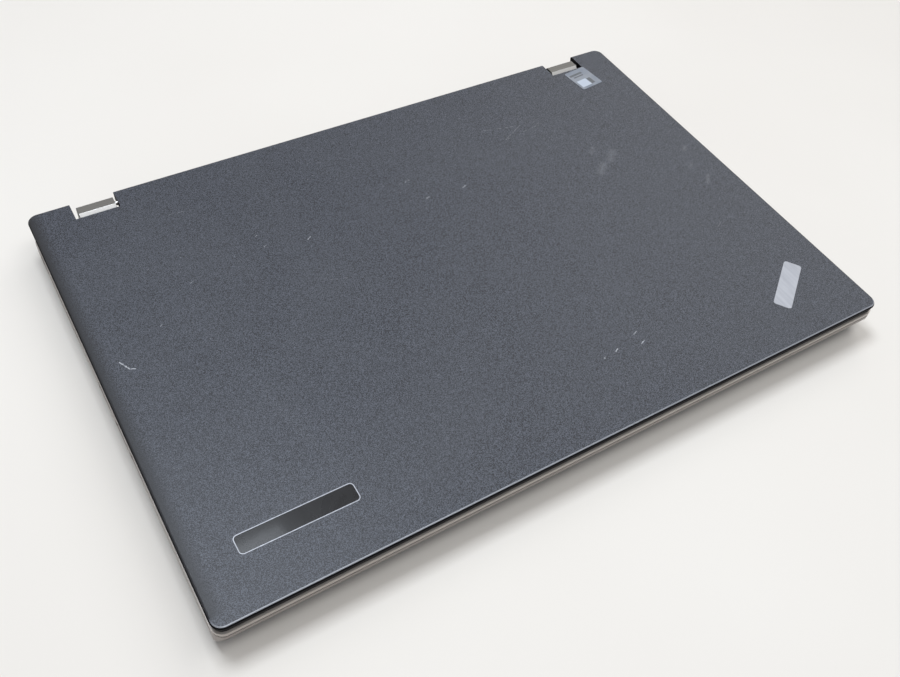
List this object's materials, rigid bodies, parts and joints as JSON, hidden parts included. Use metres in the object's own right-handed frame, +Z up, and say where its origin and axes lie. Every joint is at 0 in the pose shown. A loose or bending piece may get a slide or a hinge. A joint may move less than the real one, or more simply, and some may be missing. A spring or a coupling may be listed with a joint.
{
  "type": "laptop computer",
  "caption": "Thin closed laptop computer with a textured dark lid on rear hinges, a silver-grey edge band, a full keyboard, a touchpad and side ports.",
  "frame": {"origin": "on the table, under the middle of the closed lid", "axes": "+X to the user's right, +Y from the front edge to the hinges, +Z up"},
  "size_m": [0.339, 0.23, 0.0211],
  "materials": {
    "lid_shell": "dark, finely textured soft paint",
    "bezel": "fine matt grain",
    "screen": "dark anti-glare screen",
    "panel_frame": "satin",
    "circuit": "solder mask",
    "chip": "moulded",
    "copper": "brushed copper",
    "steel": "zinc plated",
    "hinge_metal": "satin",
    "band": "silver-grey paint",
    "base_shell": "fine matt grain",
    "key": "fine matt grain",
    "soft": "matt",
    "dome": "translucent silicone",
    "badge_dark": "polished",
    "badge_silver": "satin",
    "foil": "crinkled foil",
    "cable": "matt",
    "drive_case": "machined",
    "cell_wrap": "shrink film",
    "socket_metal": "nickel plated",
    "socket_black": "moulded",
    "gold": "flexible printed copper",
    "fan_plastic": "moulded"
  },
  "bodies": {
    "base": {"bottom_cover": "base_shell", "edge_band": "band", "palm_rest": "base_shell", "keyboard_plate": "steel", "keyboard_bezel": "key", "key_domes": "dome", "pointing_stick": "soft", "mainboard": "circuit", "board_chips": "chip", "processor": "chip", "heat_pipe": "copper", "fan_housing": "fan_plastic", "exhaust_fins": "copper", "memory_module": "circuit", "wireless_card": "circuit", "storage_drive": "drive_case", "battery_pack": "cell_wrap", "coin_cell": "steel", "speakers": "socket_black", "power_jack": "socket_black", "usb_ports": "socket_metal", "video_port": "socket_metal", "network_port": "socket_black", "audio_jack": "socket_black", "card_reader": "socket_metal", "hinge_knuckle_left": "hinge_metal", "hinge_knuckle_right": "hinge_metal", "display_cable_base": "cable", "rubber_feet": "soft", "base_screws": "steel"},
    "lid": {"lid_cover": "lid_shell", "screen_bezel": "bezel", "display_glass": "screen", "display_frame": "panel_frame", "display_board": "circuit", "webcam_module": "circuit", "lid_antennas": "gold", "hinge_arm_left": "steel", "hinge_arm_right": "steel", "lid_screws": "steel", "lid_bumpers": "soft", "front_badge": "badge_dark", "corner_badge": "badge_silver", "lid_label": "foil", "display_cable_lid": "cable"},
    "function_keys": {"function_keys": "key"},
    "number_keys": {"number_keys": "key"},
    "upper_letter_keys": {"upper_letter_keys": "key"},
    "home_letter_keys": {"home_letter_keys": "key"},
    "lower_letter_keys": {"lower_letter_keys": "key"},
    "modifier_keys": {"modifier_keys": "key"},
    "arrow_keys": {"arrow_keys": "key"},
    "space_bar": {"space_bar": "key"},
    "enter_key": {"enter_key": "key"},
    "left_button": {"left_button": "key"},
    "middle_button": {"middle_button": "key"},
    "right_button": {"right_button": "key"},
    "touchpad": {"touchpad": "bezel"},
    "power_button": {"power_button": "band"},
    "fan_rotor": {"fan_rotor": "fan_plastic"}
  },
  "joints": [
    {"name": "lid_hinge", "type": "hinge", "parent": "base", "child": "lid", "pos_m": [0, 0.109, 0.0185], "axis": [-1, 0, 0], "range_deg": [0, 180]},
    {"name": "function_keys_travel", "type": "slide", "parent": "base", "child": "function_keys", "axis": [0, 0, -1], "range_m": [0, 0.0018], "stiffness_N_per_m": 400, "springref_m": -0.0015, "deforming": ["key_domes"]},
    {"name": "number_keys_travel", "type": "slide", "parent": "base", "child": "number_keys", "axis": [0, 0, -1], "range_m": [0, 0.0018], "stiffness_N_per_m": 400, "springref_m": -0.0015},
    {"name": "upper_letter_keys_travel", "type": "slide", "parent": "base", "child": "upper_letter_keys", "axis": [0, 0, -1], "range_m": [0, 0.0018], "stiffness_N_per_m": 400, "springref_m": -0.0015},
    {"name": "home_letter_keys_travel", "type": "slide", "parent": "base", "child": "home_letter_keys", "axis": [0, 0, -1], "range_m": [0, 0.0018], "stiffness_N_per_m": 400, "springref_m": -0.0015},
    {"name": "lower_letter_keys_travel", "type": "slide", "parent": "base", "child": "lower_letter_keys", "axis": [0, 0, -1], "range_m": [0, 0.0018], "stiffness_N_per_m": 400, "springref_m": -0.0015},
    {"name": "modifier_keys_travel", "type": "slide", "parent": "base", "child": "modifier_keys", "axis": [0, 0, -1], "range_m": [0, 0.0018], "stiffness_N_per_m": 400, "springref_m": -0.0015},
    {"name": "arrow_keys_travel", "type": "slide", "parent": "base", "child": "arrow_keys", "axis": [0, 0, -1], "range_m": [0, 0.0018], "stiffness_N_per_m": 400, "springref_m": -0.0015},
    {"name": "space_bar_travel", "type": "slide", "parent": "base", "child": "space_bar", "axis": [0, 0, -1], "range_m": [0, 0.0018], "stiffness_N_per_m": 300, "springref_m": -0.0015},
    {"name": "enter_key_travel", "type": "slide", "parent": "base", "child": "enter_key", "axis": [0, 0, -1], "range_m": [0, 0.0018], "stiffness_N_per_m": 300, "springref_m": -0.0015},
    {"name": "left_button_click", "type": "slide", "parent": "base", "child": "left_button", "axis": [0, 0, -1], "range_m": [0, 0.0008], "stiffness_N_per_m": 500, "springref_m": -0.0008},
    {"name": "middle_button_click", "type": "slide", "parent": "base", "child": "middle_button", "axis": [0, 0, -1], "range_m": [0, 0.0008], "stiffness_N_per_m": 500, "springref_m": -0.0008},
    {"name": "right_button_click", "type": "slide", "parent": "base", "child": "right_button", "axis": [0, 0, -1], "range_m": [0, 0.0008], "stiffness_N_per_m": 500, "springref_m": -0.0008},
    {"name": "touchpad_click", "type": "hinge", "parent": "base", "child": "touchpad", "pos_m": [-0.01429, -0.048, 0.0157], "axis": [1, 0, 0], "range_deg": [0, 0.5], "stiffness_Nm_per_rad": 4, "springref_deg": -1.15},
    {"name": "power_button_press", "type": "slide", "parent": "base", "child": "power_button", "axis": [0, 0, -1], "range_m": [0, 0.0006], "stiffness_N_per_m": 400, "springref_m": -0.001},
    {"name": "fan_spin", "type": "hinge", "parent": "base", "child": "fan_rotor", "pos_m": [-0.1125, 0.062, 0.0062], "axis": [0, 0, 1], "continuous": true}
  ]
}
